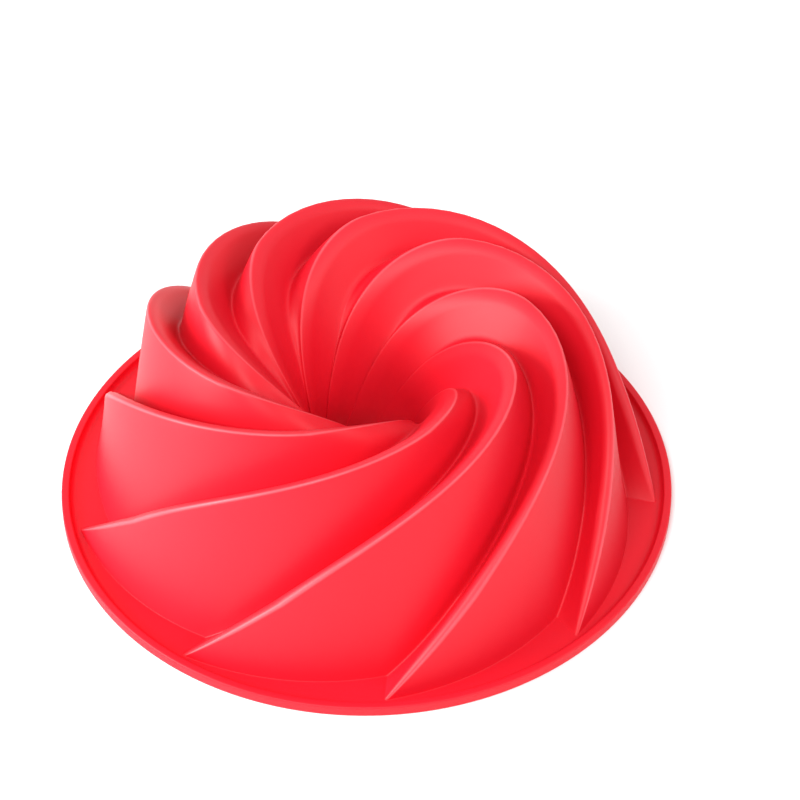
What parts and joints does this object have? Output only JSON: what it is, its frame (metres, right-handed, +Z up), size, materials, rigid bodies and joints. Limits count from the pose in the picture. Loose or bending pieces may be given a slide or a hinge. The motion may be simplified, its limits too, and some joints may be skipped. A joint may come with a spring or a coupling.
{
  "type": "bundt pan",
  "caption": "Round swirl-fluted bundt baking mould in one silicone moulding, with a flat flange, an upstanding lip holding a steel ring, and an open centre tube.",
  "frame": {"origin": "centre of the rim's underside, on the plane that the pan rests on dome up", "axes": "+Z up along the centre tube's axis, towards the crown; +X through the tip of one flute"},
  "size_m": [0.2549, 0.2549, 0.09],
  "materials": {
    "silicone": "satin",
    "steel": "drawn"
  },
  "bodies": {
    "root": {"pan_moulding": "silicone", "rim_wire": "steel"}
  },
  "joints": []
}
